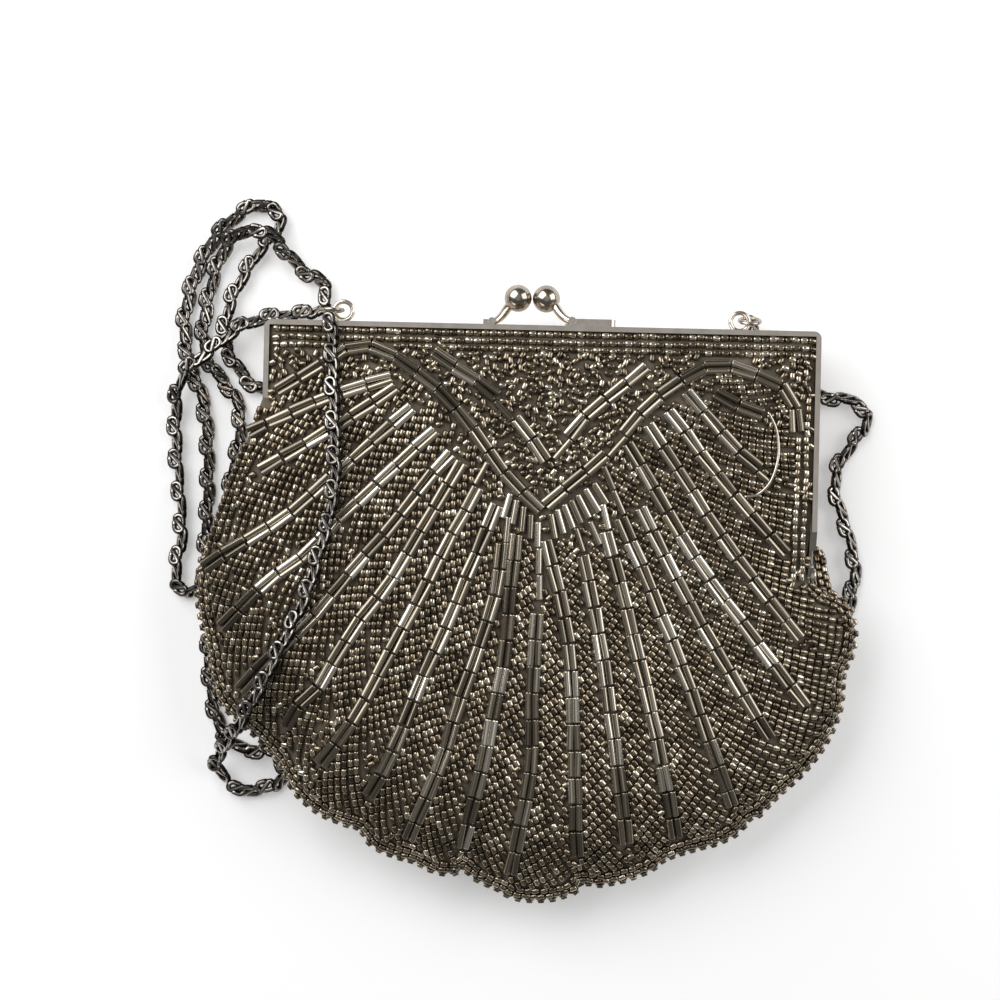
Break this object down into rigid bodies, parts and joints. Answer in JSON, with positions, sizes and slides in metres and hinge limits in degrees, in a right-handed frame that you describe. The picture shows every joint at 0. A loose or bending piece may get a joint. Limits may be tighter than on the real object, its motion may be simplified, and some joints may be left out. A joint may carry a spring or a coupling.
{
  "type": "kiss lock frame purse",
  "caption": "Beaded evening purse with a hinged metal frame, kiss-lock ball clasp, scalloped beaded pouch and long chain strap, lying on its back",
  "frame": {"origin": "on the table under the middle of the purse without its strap, which lies on its back", "axes": "+X along the frame's rail to the wearer's left as seen from the front, +Y up to the clasp, +Z out of the front face"},
  "size_m": [0.2009, 0.1907, 0.0298],
  "materials": {
    "nickel_frame": "polished nickel plate, lightly worn",
    "chain_metal": "dark oxidised silver",
    "beaded_cloth": "smoky silver-lined glass beads sewn close on taupe cloth",
    "bead_edging": "picot edging of glass seed beads",
    "lining_satin": "taupe satin"
  },
  "bodies": {
    "back_half": {"back_frame": "nickel_frame", "left_hinge_rivet": "nickel_frame", "right_hinge_rivet": "nickel_frame", "back_knob_foot": "nickel_frame", "right_strap_eye": "nickel_frame", "right_jump_ring": "chain_metal", "back_panel": "beaded_cloth", "back_lining": "lining_satin", "front_panel_fold": "beaded_cloth", "front_panel_lower": "beaded_cloth", "front_lining_lower": "lining_satin", "rim_beading": "bead_edging", "strap_front_fold": "chain_metal", "strap_front_lower": "chain_metal", "strap_hank": "chain_metal", "strap_under_run": "chain_metal", "strap_right_loop": "chain_metal"},
    "front_half": {"front_frame": "nickel_frame", "front_knob_foot": "nickel_frame", "left_strap_eye": "nickel_frame", "left_jump_ring": "chain_metal", "front_panel_upper": "beaded_cloth", "front_lining_upper": "lining_satin", "strap_front_upper": "chain_metal"},
    "front_knob": {"front_knob_arm": "nickel_frame", "front_knob_ball": "nickel_frame"},
    "back_knob": {"back_knob_arm": "nickel_frame", "back_knob_ball": "nickel_frame"}
  },
  "joints": [
    {"name": "frame_hinge", "type": "hinge", "parent": "back_half", "child": "front_half", "pos_m": [0.00425, 0.00492, 0.0146], "axis": [1, 0, 0], "range_deg": [0, 70], "deforming": ["front_panel_fold", "strap_front_fold"]},
    {"name": "front_knob_flex", "type": "hinge", "parent": "front_half", "child": "front_knob", "pos_m": [0.0121, 0.07247, 0.0184], "axis": [0, 0, 1], "range_deg": [-5, 0], "stiffness_Nm_per_rad": 0.3},
    {"name": "back_knob_flex", "type": "hinge", "parent": "back_half", "child": "back_knob", "pos_m": [-0.0096, 0.07247, 0.0108], "axis": [0, 0, 1], "range_deg": [0, 5], "stiffness_Nm_per_rad": 0.3}
  ]
}
